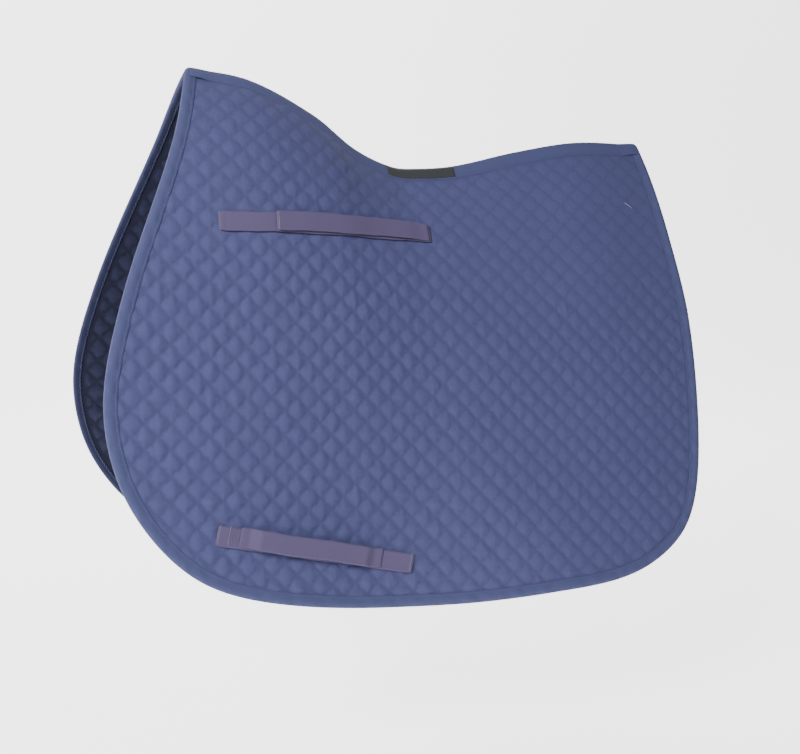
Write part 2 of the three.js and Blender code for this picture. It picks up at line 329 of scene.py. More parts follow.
def finishFabric(tree, principled, colour, height, bump, roughness, sheen):
    tree.links.new(colour, principled.inputs["Base Color"])
    raised = addNode(tree, "ShaderNodeBump", {"Height": height, "Strength": bump[0], "Distance": bump[1]})
    tree.links.new(raised.outputs[0], principled.inputs["Normal"])
    principled.inputs["Roughness"].default_value = roughness
    principled.inputs["Specular IOR Level"].default_value = .18
    principled.inputs["Sheen Weight"].default_value = sheen
    principled.inputs["Sheen Roughness"].default_value = .45


def quiltedMaterial(name, colour, thread, groove, crown, sheen):
    material, tree, principled = fabricMaterial(name)
    cut = addNode(tree, "ShaderNodeUVMap", uv_map="cut").outputs[0]
    cells = addNode(tree, "ShaderNodeUVMap", uv_map="cells").outputs[0]
    puff = addNode(tree, "ShaderNodeAttribute", attribute_name="puff").outputs["Fac"]
    stitches = useGroup(tree, quiltStitches, Cells=cells, PerCell=5.)
    tinted = useGroup(tree, clothTint, Vector=cut, Color=colour, Amount=.16)["Color"]
    # painted shade in the grooves and a painted highlight on the crowns, set by the puff attribute
    shaded = useGroup(tree, puffShadeAndHighlight, Puff=puff, Color=tinted, Groove=groove, Crown=crown)["Color"]
    mixed = addNode(tree, "ShaderNodeMix", {"Factor": stitches["Mask"], 6: shaded, 7: thread}, data_type="RGBA")
    woven = useGroup(tree, weave, Vector=cut, Density=5200.)["Height"]
    wrinkles = addNode(tree, "ShaderNodeTexNoise", {"Vector": cut, "Scale": 230., "Detail": 4.}).outputs[0]
    creased = mathNode(tree, "MULTIPLY_ADD", wrinkles, 6., woven)
    height = mathNode(tree, "MULTIPLY_ADD", stitches["Mask"], 3., creased)
    finishFabric(tree, principled, mixed.outputs[2], height, (.35, .00025), .86, sheen)
    return material


def wovenMaterial(name, colour, amount=.12, density=5200., bump=(.35, .0002), roughness=.82, sheen=.15):
    material, tree, principled = fabricMaterial(name)
    cut = addNode(tree, "ShaderNodeUVMap", uv_map="cut").outputs[0]
    tinted = useGroup(tree, clothTint, Vector=cut, Color=colour, Amount=amount)["Color"]
    woven = useGroup(tree, weave, Vector=cut, Density=density)["Height"]
    finishFabric(tree, principled, tinted, woven, bump, roughness, sheen)
    return material


def bindingMaterial(name, colour, innerShadeColour):
    # the tape's second half, counted across it, is the fold on the horse's side; it has a darker colour as
    # painted shade, since it faces into the shaded inside of the pad
    material, tree, principled = fabricMaterial(name)
    cut = addNode(tree, "ShaderNodeUVMap", uv_map="cut").outputs[0]
    across = addNode(tree, "ShaderNodeSeparateXYZ", {0: cut}).outputs[1]
    inner = addNode(tree, "ShaderNodeMapRange", {0: across, 1: .016, 2: .02}).outputs[0]
    foldWithPaintedShade = addNode(tree, "ShaderNodeMix", {"Factor": inner, 6: colour, 7: innerShadeColour}, data_type="RGBA")
    tinted = useGroup(tree, clothTint, Vector=cut, Color=foldWithPaintedShade.outputs[2], Amount=.12)["Color"]
    woven = useGroup(tree, weave, Vector=cut, Density=4200.)["Height"]
    finishFabric(tree, principled, tinted, woven, (.35, .0002), .82, .05)
    return material


def webbingMaterial(name, colour, edge):
    # ribbed webbing with painted shade: it is a little darker in the hollows between its ribs
    material, tree, principled = fabricMaterial(name)
    cut = addNode(tree, "ShaderNodeUVMap", uv_map="cut").outputs[0]
    tinted = useGroup(tree, clothTint, Vector=cut, Color=colour, Amount=.2)["Color"]
    ribbed = useGroup(tree, ribs, Vector=cut, Density=4300.)["Height"]
    # the colour named edge is painted shade, mixed in where the ribs are low
    shade = addNode(tree, "ShaderNodeMapRange", {0: ribbed, 1: -1.4, 2: 1.2}).outputs[0]
    mixed = addNode(tree, "ShaderNodeMix", {"Factor": shade, 6: edge, 7: tinted}, data_type="RGBA")
    finishFabric(tree, principled, mixed.outputs[2], ribbed, (.12, .0001), .75, .1)
    return material


materials = {
    # the groove and crown numbers of the quilted cloths set their painted shade in the grooves and their
    # painted highlight on the crowns
    "cover": quiltedMaterial("cover", srgb(73, 76, 117), srgb(71, 74, 112), .1, .05, .05),
    # the lining's colour is partly its own dark navy and partly painted shade for the inside of the pad, and
    # its grooves carry strong painted shade
    "lining": quiltedMaterial("lining", srgb(33, 35, 57), srgb(26, 28, 48), .42, .05, .01),
    "wadding": wovenMaterial("wadding", srgb(232, 230, 226), .08, 900., (.5, .0006), .95, .2),
    # the binding's second colour is painted shade on its inner fold
    "binding": bindingMaterial("binding", srgb(72, 76, 115), srgb(36, 39, 64)),
    # the webbing's second colour is painted shade in the hollows between its ribs
    "webbing": webbingMaterial("webbing", srgb(88, 79, 111), srgb(86, 77, 108)),
    "touch_tape": wovenMaterial("touchTape", srgb(72, 66, 92), .25, 2600., (.8, .0005), .95, .3),
    "thread": wovenMaterial("thread", srgb(80, 84, 122), .1, 9000., (.3, .0001), .6, .05),
    "label": wovenMaterial("label", srgb(60, 61, 62), .2, 7000., (.3, .00015), .42, .05),
}
paleThread = wovenMaterial("paleThread", srgb(126, 127, 144), .1, 9000., (.3, .0001), .6, .1)
looseFibre = wovenMaterial("looseFibre", srgb(160, 165, 188), .1, 9000., (.3, .0001), .6, .1)
webbingThread = wovenMaterial("webbingThread", srgb(96, 90, 116), .1, 9000., (.3, .0001), .6, .1)
print("fabrics made")


# Two families of stitch lines, at 45 degrees to a direction that dips a little to the rear.
quilt = {
    "pitch": 17.9 * mm,
    "dip": 3.4,
    "origin": (12.2 * mm, -246 * mm),
    "steps": (0, .07, .2, .35, .5, .65, .8, .93),
    "trialCells": 6,
    "inset": 1.6 * mm,
    "groove": .9 * mm,
    "crown": 1.55 * mm,
    "underBinding": .45 * mm,
    "ridged": .22,
    "uneven": .2,
    "peak": 1.6,
    "liningCrown": 2 * mm,
    "squeeze": 3 * mm,
}
turn = np.radians(45 - quilt["dip"])
lineUp = np.array([np.cos(turn), np.sin(turn)])
lineDown = np.array([np.sin(turn), -np.cos(turn)])
steps = np.array(quilt["steps"])
perCell = len(steps)


def puffFormula(a, b):
    # a round-topped pillow: the product of two half sine waves, raised to a power
    return (np.sin(np.pi * a) * np.sin(np.pi * b)) ** .8


def simulatePuffs():
    # Cloth pinned along the quilting lines and blown up from below. A little uneven slack is woven
    # in first, so that each pillow wrinkles in its own way. It is simulated large, which is steadier.
    size, count = .2, quilt["trialCells"]
    line = np.concatenate([(np.arange(count)[:, None] + steps).ravel(), [count]])
    a, b = np.meshgrid(line, line, indexing="ij")
    pillow = puffFormula(a % 1, b % 1)
    slack = (np.sin(7.3 * a + 1.9 * b + 3 * np.sin(1.7 * b)) + np.sin(5.1 * b - 2.3 * a + 2 * np.sin(2.9 * a))
             + .7 * np.sin(11.9 * a + 8.3 * b))
    start = np.stack([a * size, b * size, size * pillow * (.05 + .022 * slack)], -1)
    trial = addPiece("puffTrial", start.reshape(-1, 3), gridQuads(len(line), len(line)), materials["cover"])
    pinned = np.flatnonzero(((a % 1 == 0) | (b % 1 == 0)).ravel())
    trial.vertex_groups.new(name="stitched").add(pinned.tolist(), 1, "REPLACE")
    cloth = trial.modifiers.new("cloth", "CLOTH")
    cloth.settings.vertex_group_mass = "stitched"
    cloth.settings.quality = 8
    cloth.settings.mass = .2
    cloth.settings.tension_stiffness = cloth.settings.compression_stiffness = 18
    cloth.settings.bending_stiffness = .4
    cloth.settings.air_damping = 2
    cloth.settings.shrink_min = -.05
    cloth.settings.use_pressure = True
    cloth.settings.uniform_pressure_force = 9
    cloth.settings.effector_weights.gravity = 0
    cloth.collision_settings.use_collision = False
    cloth.point_cache.frame_end = 45
    for number in range(1, 46):
        scene.frame_set(number)
    settled = trial.evaluated_get(bpy.context.evaluated_depsgraph_get()).to_mesh()
    found = np.zeros(len(settled.vertices) * 3, np.float32)
    settled.vertices.foreach_get("co", found)
    bpy.data.objects.remove(trial)
    scene.frame_set(1)
    moved = (found.reshape(start.shape) - np.stack([a * size, b * size, 0 * a], -1)) / size
    inner = range(1, count - 1)
    return np.stack([moved[i * perCell:(i + 1) * perCell + 1, j * perCell:(j + 1) * perCell + 1]
                     for i in inner for j in inner])


puffs = simulatePuffs()
puffs[..., 2] /= np.sort(puffs[..., 2].max((1, 2)))[len(puffs) // 2]
puffs[..., :2] = np.clip(puffs[..., :2], -.04, .04)
puffs[..., 2] = np.maximum(puffs[..., 2], 0)
print("quilting puffs ready:", np.round(puffs[..., 2].max((1, 2)), 2).tolist())


def borderOf(points, loop):
    # distance to a closed loop, positive inside, and the loop's nearest point
    best, near, inside = np.full(len(points), 9.), points.copy(), np.zeros(len(points), bool)
    for start, end in zip(loop, np.roll(loop, -1, 0)):
        edge = end - start
        share = np.clip(((points - start) @ edge) / (edge @ edge), 0, 1)
        foot = start + share[:, None] * edge
        gap = np.hypot(*(points - foot).T)
        closer = gap < best
        best[closer], near[closer] = gap[closer], foot[closer]
        crosses = (start[1] > points[:, 1]) != (end[1] > points[:, 1])
        reach = start[0] + (points[:, 1] - start[1]) * edge[0] / (edge[1] + 1e-12)
        inside ^= crosses & (points[:, 0] < reach)
    return np.where(inside, best, -best), near


def panelLoop(inset):
    # the panel's border: the bound edges moved inwards, then back along the spine
    bound = outlinePoint(np.linspace(0, outlineLength, 200), inset)
    bound[:, 1] = np.minimum(bound[:, 1], spineHeight(bound[:, 0]))
    x = np.linspace(bound[-1, 0], bound[0, 0], 60)[1:-1]
    return np.concatenate([bound, np.c_[x, spineHeight(x)]])


def quiltNet(cellSteps):
    # points on the quilting lines' own grid, cut to the panel, with the cut's edge drawn to the border
    loop = panelLoop(quilt["inset"])
    corners = (loop - quilt["origin"]) @ np.array([lineUp, lineDown]).T / quilt["pitch"]
    low, high = np.floor(corners.min(0)).astype(int), np.ceil(corners.max(0)).astype(int)
    cellSteps, count = np.array(cellSteps), len(cellSteps)
    lineA, lineB = (
        np.append((np.arange(low[k], high[k])[:, None] + cellSteps).ravel(), high[k]) for k in (0, 1))
    a, b = (v.ravel() for v in np.meshgrid(lineA, lineB, indexing="ij"))
    flat = quilt["origin"] + quilt["pitch"] * (a[:, None] * lineUp + b[:, None] * lineDown)
    quads = gridQuads(len(lineA), len(lineB))[:, ::-1]
    gap, near = borderOf(flat, loop)
    kept = gap[quads].mean(1) > 0
    edge = np.intersect1d(quads[kept], quads[~kept])
    flat[edge], gap[edge] = near[edge], 0
    used = np.unique(quads[kept])
    place = np.zeros(len(flat), int)
    place[used] = np.arange(len(used))
    i, j = (v.ravel()[used] for v in np.meshgrid(np.arange(len(lineA)), np.arange(len(lineB)), indexing="ij"))
    return {"flat": flat[used], "cells": np.c_[a, b][used], "gap": gap[used] + quilt["inset"],
            "quads": place[quads[kept]], "cell": np.c_[i // count, j // count],
            "step": np.c_[i % count, j % count]}


# Straps lie along a line on the cut half, at heights over the cover.
straps = {
    "billet": {"front": (-247, -68), "rear": (-5, -76)},
    "girth": {"front": (-266, -374), "rear": (-65, -427)},
}
for name, strap in straps.items():
    low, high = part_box("left_" + name + "_base_strap")
    strap["front"] = np.array([low.x, strap["front"][1] * mm])
    strap["rear"] = np.array([high.x, strap["rear"][1] * mm])
    strap["length"] = float(np.hypot(*(strap["rear"] - strap["front"])))
    strap["along"] = (strap["rear"] - strap["front"]) / strap["length"]
    strap["across"] = np.array([strap["along"][1], -strap["along"][0]])


def onStrap(strap, along, across):
    return strap["front"] + along[..., None] * strap["along"] + across[..., None] * strap["across"]


def underStraps(flat):
    # one under a strap and nothing beside it
    pressed = np.zeros(len(flat))
    for strap in straps.values():
        along, across = (flat - strap["front"]) @ strap["along"], (flat - strap["front"]) @ strap["across"]
        ends = smoothstep(-4 * mm, 2 * mm, along) * (1 - smoothstep(-2 * mm, 4 * mm, along - strap["length"]))
        pressed = np.maximum(pressed, ends * (1 - smoothstep(9.5 * mm, 15 * mm, np.abs(across))))
    return pressed


def puffiness(net):
    # full towards the front and the hem, flatter by the spine and at the rear, pressed under straps
    x, h = net["flat"].T
    t = spineHeight(x) - h
    byHeight = .36 + .64 * smoothstep(.02, .26, t)
    byLength = 1 - .46 * smoothstep(-.25, .25, x)
    byRear = 1 - .65 * smoothstep(.02, .2, x) * (1 - smoothstep(.1, .3, t))
    return byHeight * byLength * byRear * (1 - .78 * underStraps(net["flat"]))


def stamped(net):
    # each cell takes one of the simulated puffs, turned over one way or the other
    i, j = net["cell"].T
    pick = (i * 7 + j * 13 + i * j * 5) % len(puffs)
    a, b = net["step"].T
    a = np.where((i + 2 * j) % 3 == 0, perCell - a, a)
    b = np.where((2 * i + j) % 5 < 2, perCell - b, b)
    found = puffs[pick, a, b]
    # towards the rear the cloth is drawn into ridges that run down the second family of lines
    share = quilt["ridged"] * smoothstep(-.14, .08, net["flat"][:, 0])
    ridge = np.sin(np.pi * (net["cells"][:, 0] % 1))
    found[:, 2] = (1 - share) * found[:, 2] ** quilt["peak"] + share * .8 * ridge
    found[:, 2] *= 1 + quilt["uneven"] * np.sin(2.9 * i + 4.7 * j + 2 * np.sin(1.3 * i * j))
    return found


def edgeSqueeze(net):
    # the sandwich is pressed thinner where it is bound
    return quilt["squeeze"] * (1 - smoothstep(8 * mm, 32 * mm, net["gap"]))


def beyondBinding(net):
    t = spineHeight(net["flat"][:, 0]) - net["flat"][:, 1]
    return smoothstep(11.5 * mm, 16.5 * mm, net["gap"]) * smoothstep(14 * mm, 22 * mm, t)


net = quiltNet(steps)
fullness, clear, puff = puffiness(net), beyondBinding(net), stamped(net)
drift = net["flat"] + quilt["pitch"] * clear[:, None] * (
    puff[:, :1] * lineUp + puff[:, 1:2] * lineDown)
coverDepth = (1 - clear) * quilt["underBinding"] + clear * fullness * (
    quilt["groove"] - (quilt["groove"] + quilt["crown"]) * puff[:, 2])
liningDepth = half["thickness"] - edgeSqueeze(net) - (1 - clear) * quilt["underBinding"] - clear * fullness * (
    quilt["groove"] - (quilt["groove"] + quilt["liningCrown"]) * puff[:, 2])
cover = {"points": onHalf(drift, coverDepth), "quads": net["quads"]}
lining = {"points": onHalf(drift, liningDepth), "quads": net["quads"][:, ::-1]}
quiltLayers = {"uvs": {"cut": net["flat"], "cells": net["cells"]}, "values": {"puff": puff[:, 2] * clear}}
print("quilted sheets:", len(net["quads"]), "faces each")

padNet = quiltNet((0, .25, .5, .75))
padFullness, padClear = puffiness(padNet), beyondBinding(padNet)
padPuff = .6 * puffFormula(*(padNet["cells"].T % 1)) ** 2
sunk = padClear * padFullness * (quilt["groove"] - (quilt["groove"] + quilt["crown"]) * padPuff)
swell = padClear * padFullness * (quilt["groove"] - (quilt["groove"] + quilt["liningCrown"]) * padPuff)
margin = quilt["underBinding"] + .5 * mm
padLower = half["thickness"] - edgeSqueeze(padNet) - swell - margin
wadding = shell(onHalf(padNet["flat"], sunk + margin), onHalf(padNet["flat"], padLower), padNet["quads"])
print("wadding:", len(wadding[1]), "faces")


def stitchMesh(centre, along, out, length, thick, rise):
    # six-sided bars with rounded ends that arch out of the cloth, one for each centre
    u = np.array([-.5, -.44, -.25, 0, .25, .44, .5])
    radius = np.array([.3, .75, 1, 1, 1, .75, .3]) * thick / 2
    arch = rise * (1 - (2 * u) ** 2) - .3 * rise
    turnBy = np.arange(6) * np.pi / 3
    side = np.cross(out, along)
    ring = (np.cos(turnBy)[None, :, None] * side[:, None, None, :] * radius[None, :, None, None]
            + np.sin(turnBy)[None, :, None] * out[:, None, None, :] * radius[None, :, None, None])
    spot = (centre[:, None, :] + along[:, None, :] * (u * length)[None, :, None]
            + out[:, None, :] * arch[None, :, None])
    points = spot[:, :, None, :] + ring
    count = len(u) * 6
    i, j = np.meshgrid(np.arange(len(u) - 1), np.arange(6), indexing="ij")
    after = (j + 1) % 6
    here, there = i * 6, (i + 1) * 6
    wall = np.stack([there + j, there + after, here + after, here + j], -1).reshape(-1, 4)
    caps = np.array([[0, 1, 2, 3], [0, 3, 4, 5]])
    ends = np.concatenate([caps, caps[:, ::-1] + count - 6])
    one = np.concatenate([wall, ends])
    quads = (one[None] + count * np.arange(len(centre))[:, None, None]).reshape(-1, 4)
    return points.reshape(-1, 3), quads


def stitchesOn(flat, direction, depth, length=2.5 * mm, thick=.5 * mm, rise=.25 * mm, inside=False):
    # stitches lying on a half at places on the cut, each pointing along its direction
    step = .3 * mm
    ahead, behind = onHalf(flat + step * direction, depth), onHalf(flat - step * direction, depth)
    along = (ahead - behind) / np.linalg.norm(ahead - behind, axis=1, keepdims=True)
    out = onHalf(flat, depth - step) - onHalf(flat, depth)
    out *= (-1 if inside else 1) / np.linalg.norm(out, axis=1, keepdims=True)
    return stitchMesh(onHalf(flat, depth), along, out, length, thick, rise)


def joined(*parts):
    offsets = np.cumsum([0] + [len(points) for points, _ in parts])
    return (np.concatenate([points for points, _ in parts]),
            np.concatenate([quads + offset for (_, quads), offset in zip(parts, offsets)]))


binding = {
    "thickness": .75 * mm,
    "stationStep": 2.1 * mm,
    "profileSteps": 34,
    "middle": [(13, -.05), (11.6, 0), (9.8, -.2), (8.2, -.75), (5.6, -1.35), (2.8, -1.1), (.9, .2),
               (.45, 2.9), (.9, 5.4), (2.4, 6.5), (4.2, 6.6), (5.6, 6.2), (6.6, 6), (7.6, 6), (8.6, 6.1)],
    "stitchInset": 11.2 * mm,
    "innerStitchInset": 7.4 * mm,
    "stitchPitch": 2.3 * mm,
    "pucker": .3 * mm,
}


def bindingMesh():
    # a U-shaped profile, (inset, depth), carried round the cut edge; it puckers between stitches
    middle = np.array(binding["middle"]) * mm
    way = np.concatenate([[0], np.cumsum(np.hypot(*np.diff(middle, axis=0).T))])
    at = np.linspace(0, way[-1], binding["profileSteps"])
    path = np.stack([smoothThrough(np.c_[way, middle[:, k]], at) for k in (0, 1)], -1)
    ahead = np.gradient(path, axis=0)
    ahead /= np.linalg.norm(ahead, axis=1, keepdims=True)
    out = np.c_[-ahead[:, 1], ahead[:, 0]]
    run = np.linspace(0, outlineLength, int(outlineLength / binding["stationStep"]))
    faces = []
    for offset in (.5, -.5):
        # the tape's two edges are pressed thin
        pressed = 1 - .55 * np.exp(-(np.minimum(at, way[-1] - at) / (1.5 * mm)) ** 2)
        profile = path + out * offset * binding["thickness"] * pressed[:, None]
        inset, depth = (np.broadcast_to(profile[:, k], (len(run), len(path))) for k in (0, 1))
        held = np.exp(-((inset - binding["stitchInset"]) / (1.8 * mm)) ** 2)
        pucker = binding["pucker"] * np.sin(run / (2.9 * mm) + 1.3 * np.sin(run / .021))[:, None]
        gather = .35 * mm * np.sin(run / (5.2 * mm) + 2 * np.sin(run / .047))[:, None] * np.sin(
            np.pi * np.clip(inset / (11 * mm), 0, 1))
        depth = depth - np.sign(2.9 * mm - depth) * (pucker * (1 - held) + gather) * (inset > 2 * mm)
        flat = outlinePoint(np.broadcast_to(run[:, None], inset.shape), inset)
        faces.append(onHalf(flat, depth))
    points, quads = shell(*faces, gridQuads(len(run), len(path)))
    uv = np.stack(np.broadcast_arrays(run[:, None], at), -1).reshape(-1, 2)
    return points, quads, np.concatenate([uv, uv])


def bindingStitches():
    # a zigzag seam through both folds, seen on each face
    run = np.arange(5 * mm, outlineLength - 5 * mm, binding["stitchPitch"])
    slant = np.radians(38) * np.where(np.arange(len(run)) % 2, 1, -1)
    rows = []
    for inset, depth, inside in ((binding["stitchInset"], -.45 * mm, False),
                                 (binding["innerStitchInset"], 6.5 * mm, True)):
        ahead = outlinePoint(run + mm, inset + 0 * run) - outlinePoint(run - mm, inset + 0 * run)
        ahead /= np.linalg.norm(ahead, axis=1, keepdims=True)
        direction = np.c_[ahead[:, 0] * np.cos(slant) - ahead[:, 1] * np.sin(slant),
                          ahead[:, 0] * np.sin(slant) + ahead[:, 1] * np.cos(slant)]
        rows.append(stitchesOn(outlinePoint(run, inset + 0 * run), direction, depth + 0 * run, inside=inside))
    return joined(*rows)


bindingPoints, bindingQuads, bindingUv = bindingMesh()
edgeStitches = bindingStitches()
print("edge binding:", len(bindingQuads), "faces")


chord = {"at": (0, 0, .0834), "down": (-.1163, 0, -.9932), "still": .066, "moving": .128}
bendStart, bendEnd = (
    tuple(a + chord[key] * d for a, d in zip(chord["at"], chord["down"])) for key in ("still", "moving"))
loopPairs = panelLoop(0)


def uvFor(points, scale=1):
    return {"cut": points[:, [0, 2]] * scale}


def sidePieces(side):
    def onSide(points, quads):
        return (points, quads) if side == "left" else mirrored(points, quads)

    def bending(piece, nodes):
        for node in nodes:
            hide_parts(side + "_" + node)
        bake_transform(piece)
        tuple(bendStart)
        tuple(bendEnd)
        return piece

    shown = {}
    points, quads = onSide(*wadding)
    filling = addPiece(side + "Wadding", points, quads, materials["wadding"], uvFor(points))
    shown["filling"] = bending(filling, ["wadding"])
    for key, node, sheet in (("Cover", "outer_cover", cover), ("Lining", "lining", lining)):
        points, quads = onSide(sheet["points"], sheet["quads"])
        slot = key.lower()
        cloth = addPiece(side + key, points, quads, materials[slot], **quiltLayers)
        bending(cloth, [node])
        shown[slot] = cloth
    points, quads = onSide(bindingPoints, bindingQuads)
    tape = addPiece(side + "Binding", points, quads, materials["binding"], {"cut": bindingUv})
    bending(tape, ["edge_binding"])
    points, quads = onSide(*edgeStitches)
    sewing = addPiece(side + "BindingStitches", points, quads, materials["thread"], uvFor(points))
    bending(sewing, [])
    return shown


for side in ("left", "right"):
    sidePieces(side)
print("halves made")


# Heights of each layer's underside over the cover, and lengths along the strap from its front end.
webbing = {
    "width": 20 * mm,
    "thickness": 1.5 * mm,
    "tapeWidth": 16 * mm,
    "tapeThickness": .7 * mm,
    "base": 1.5 * mm,
    "loopTape": (62 * mm, 215 * mm, 3.1 * mm),
    "hookTape": (70 * mm, 200 * mm, 3.9 * mm),
    "flap": (59 * mm, 240 * mm, 4.7 * mm),
    "band": (23 * mm, 177 * mm),
    "shift": 1.4 * mm,
    "bandFoot": 8 * mm,
    "bandRamp": 13 * mm,
    "bandRise": 5.6 * mm,
}


def strapMesh(strap, start, end, width, thickness, lift, shift=0.):
    # a flat strip with a low bead along each side of its face, on a grid along and across the strap
    along = np.linspace(start, end, max(int((end - start) / (1.5 * mm)), 6))[:, None]
    share = np.sin(np.linspace(-.5, .5, 23) * np.pi)[None]
    wobble = .35 * mm * np.sin(along / (13 * mm) + start * 900) + .15 * mm * np.sin(along / (5.1 * mm))
    corner = 1 - .12 * np.exp(-(along - start) / (1.6 * mm)) - .05 * np.exp(-(end - along) / (1.6 * mm))
    across = share * width / 2 * corner + wobble + shift
    flat = onStrap(strap, *np.broadcast_arrays(along, across))
    bead = 1 + .3 * np.exp(-((np.abs(share) - .86) / .09) ** 2)
    sides = 1 - np.abs(share) ** 14 * .8
    tips = 1 - .8 * sum(np.exp(-(fromTip / (1.3 * mm)) ** 2) for fromTip in (along - start, end - along))
    middle = lift(along) + thickness / 2
    thick = thickness / 2 * sides * tips
    points, quads = shell(onHalf(flat, -(middle + thick * bead)), onHalf(flat, -(middle - thick)),
                          gridQuads(len(along), share.shape[1]))
    uv = np.stack(np.broadcast_arrays(along, across), -1).reshape(-1, 2)
    return points, quads, {"cut": np.concatenate([uv, uv])}


def level(height):
    return lambda along: height + 0 * along


def flapLift(along):
    # sewn down at its rear end, and its free front end stands a little off
    start, end, height = webbing["flap"]
    rear = smoothstep(end - 24 * mm, end - 6 * mm, along)
    tip = 1 - smoothstep(start, start + 26 * mm, along)
    swell = .5 * mm * np.sin((along - start) / (end - start) * 3 * np.pi) ** 2
    above = height - webbing["base"] - webbing["thickness"] - .25 * mm
    return height + swell + .9 * mm * tip ** 2 - rear * above


def bandLift(along):
    # two sewn feet, two ramps and a middle that stands clear of the base strap
    start, end = webbing["band"]
    inner = np.minimum(along - start, end - along) - webbing["bandFoot"]
    arch = smoothstep(0, webbing["bandRamp"], inner)
    return webbing["base"] + webbing["thickness"] + .2 * mm + webbing["bandRise"] * arch


def tackMesh(strap, places, top, width=17 * mm, count=9):
    # rows of stitches across a strap
    parts = []
    for place in places:
        across = np.linspace(-width / 2, width / 2, count)
        flat = onStrap(strap, place + 0 * across, across)
        direction = np.broadcast_to(strap["across"], flat.shape)
        parts.append(stitchesOn(flat, direction, -top + 0 * across, 2 * mm, .55 * mm, .25 * mm))
    return joined(*parts)


onBase = webbing["base"] + webbing["thickness"] + .12 * mm
billet, girth = straps["billet"], straps["girth"]
flapStart, flapEnd, flapHeight = webbing["flap"]
bandStart, bandEnd = webbing["band"]


def strapPieces():
    width, thick = webbing["width"], webbing["thickness"]
    onCover = level(webbing["base"])
    tapes = webbing["tapeWidth"], webbing["tapeThickness"]
    loopStart, loopEnd, loopHeight = webbing["loopTape"]
    hookStart, hookEnd, hookHeight = webbing["hookTape"]
    yield "billet_base_strap", "side", "webbing", strapMesh(billet, 0, billet["length"], width, thick, onCover)
    yield "billet_loop_tape", "side", "touch_tape", strapMesh(
        billet, loopStart, loopEnd, *tapes, level(loopHeight))
    yield "billet_hook_tape", "flap", "touch_tape", strapMesh(
        billet, hookStart, hookEnd, *tapes, level(hookHeight))
    yield "billet_flap", "flap", "webbing", strapMesh(
        billet, flapStart, flapEnd, width, thick, flapLift, -webbing["shift"])
    yield "girth_base_strap", "side", "webbing", strapMesh(
        girth, 0, girth["length"], width, thick, onCover, webbing["shift"])
    yield "girth_loop_band", "side", "webbing", strapMesh(girth, bandStart, bandEnd, width, thick, bandLift)
    tip = flapLift(flapStart + 6 * mm) + thick + .1 * mm
    for node, body, strap, places, top in (
            ("billet_front_tack", "side", billet, [5 * mm], onBase),
            ("billet_flap_tack", "flap", billet, [flapStart + 2.2 * mm], tip),
            ("girth_front_tack", "side", girth, [1.9 * mm, 12 * mm], onBase),
            ("girth_middle_tack", "side", girth, [15 * mm, 18 * mm], onBase),
            ("girth_rear_tack", "side", girth, [girth["length"] - 3.4 * mm], onBase)):
        points, quads = tackMesh(strap, places, top)
        yield node, body, "thread", (points, quads, uvFor(points))


for node, body, slot, (points, quads, uvs) in strapPieces():
    title = "".join(word.capitalize() for word in node.split("_"))
    for side in ("left", "right"):
        sidePoints, sideQuads = (points, quads) if side == "left" else mirrored(points, quads)
        material = materials[slot]
        if slot == "thread":
            material = webbingThread if node in ("billet_front_tack", "girth_middle_tack") else paleThread
        piece = addPiece(side + title, sidePoints, sideQuads, material, uvs)
        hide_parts(side + "_" + node)
        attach(piece, side + "_" + body)
print("straps made")


spineTape = {
    "halfWidth": 15 * mm,
    "thickness": .8 * mm,
    "outer": -1.9 * mm,
    "inner": half["thickness"] + 1.1 * mm,
    "round": 1.1 * mm,
    "roundRun": 3 * mm,
    "stitchAt": 13.2 * mm,
    "endLift": .8 * mm,
    "press": 1.8 * mm,
}
tapeLow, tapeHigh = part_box("spine_outer_tape")


def overSpine(x, across, depth):
    # a point of a tape folded over the ridge, whose crease is rounded off
    point = bentPoint(x, np.abs(across), depth, 0)
    point[..., 1] *= np.where(across < 0, 1, -1)
    point[..., 2] -= spineTape["round"] * np.exp(-np.abs(across) / spineTape["roundRun"])
    return point


def tapeLift(x):
    # the tape climbs over the bindings' ends
    fromEnd = np.minimum(x - tapeLow.x, tapeHigh.x - x)
    return spineTape["endLift"] * (1 - smoothstep(8 * mm, 28 * mm, fromEnd))


def pressedDown(x, across):
    # sewn flat against the cover at its sides, but not where it crosses the bindings
    crossing = tapeLift(x) / spineTape["endLift"]
    return spineTape["press"] * smoothstep(3 * mm, spineTape["stitchAt"], np.abs(across)) * (1 - .8 * crossing)


def tapeMesh(depth, sign):
    x = np.linspace(tapeLow.x, tapeHigh.x, 260)[:, None]
    across = np.linspace(-1, 1, 25)[None] * spineTape["halfWidth"]
    x, across = np.broadcast_arrays(x, across)
    fromStitches = np.abs(across) - spineTape["stitchAt"]
    pucker = .15 * mm * np.sin(x / (2.7 * mm)) * np.exp(-(fromStitches / (3 * mm)) ** 2)
    press = pressedDown(x, across)
    fromEnd = np.minimum(x - tapeLow.x, tapeHigh.x - x)
    tuck = 1.6 * mm * (1 - np.clip(fromEnd / (4 * mm), 0, 1)) ** 2
    middle = depth - sign * (tapeLift(x) + pucker - press - tuck)
    across = across * (1 - .3 * (1 - np.clip(fromEnd / (7 * mm), 0, 1)) ** 2)
    thick = spineTape["thickness"] / 2 * (1 - .6 * np.abs(across / spineTape["halfWidth"]) ** 12)
    points, quads = shell(overSpine(x, across, middle - thick), overSpine(x, across, middle + thick),
                          gridQuads(*x.shape))
    uv = np.stack([x, across], -1).reshape(-1, 2)
    return points, quads, {"cut": np.concatenate([uv, uv])}


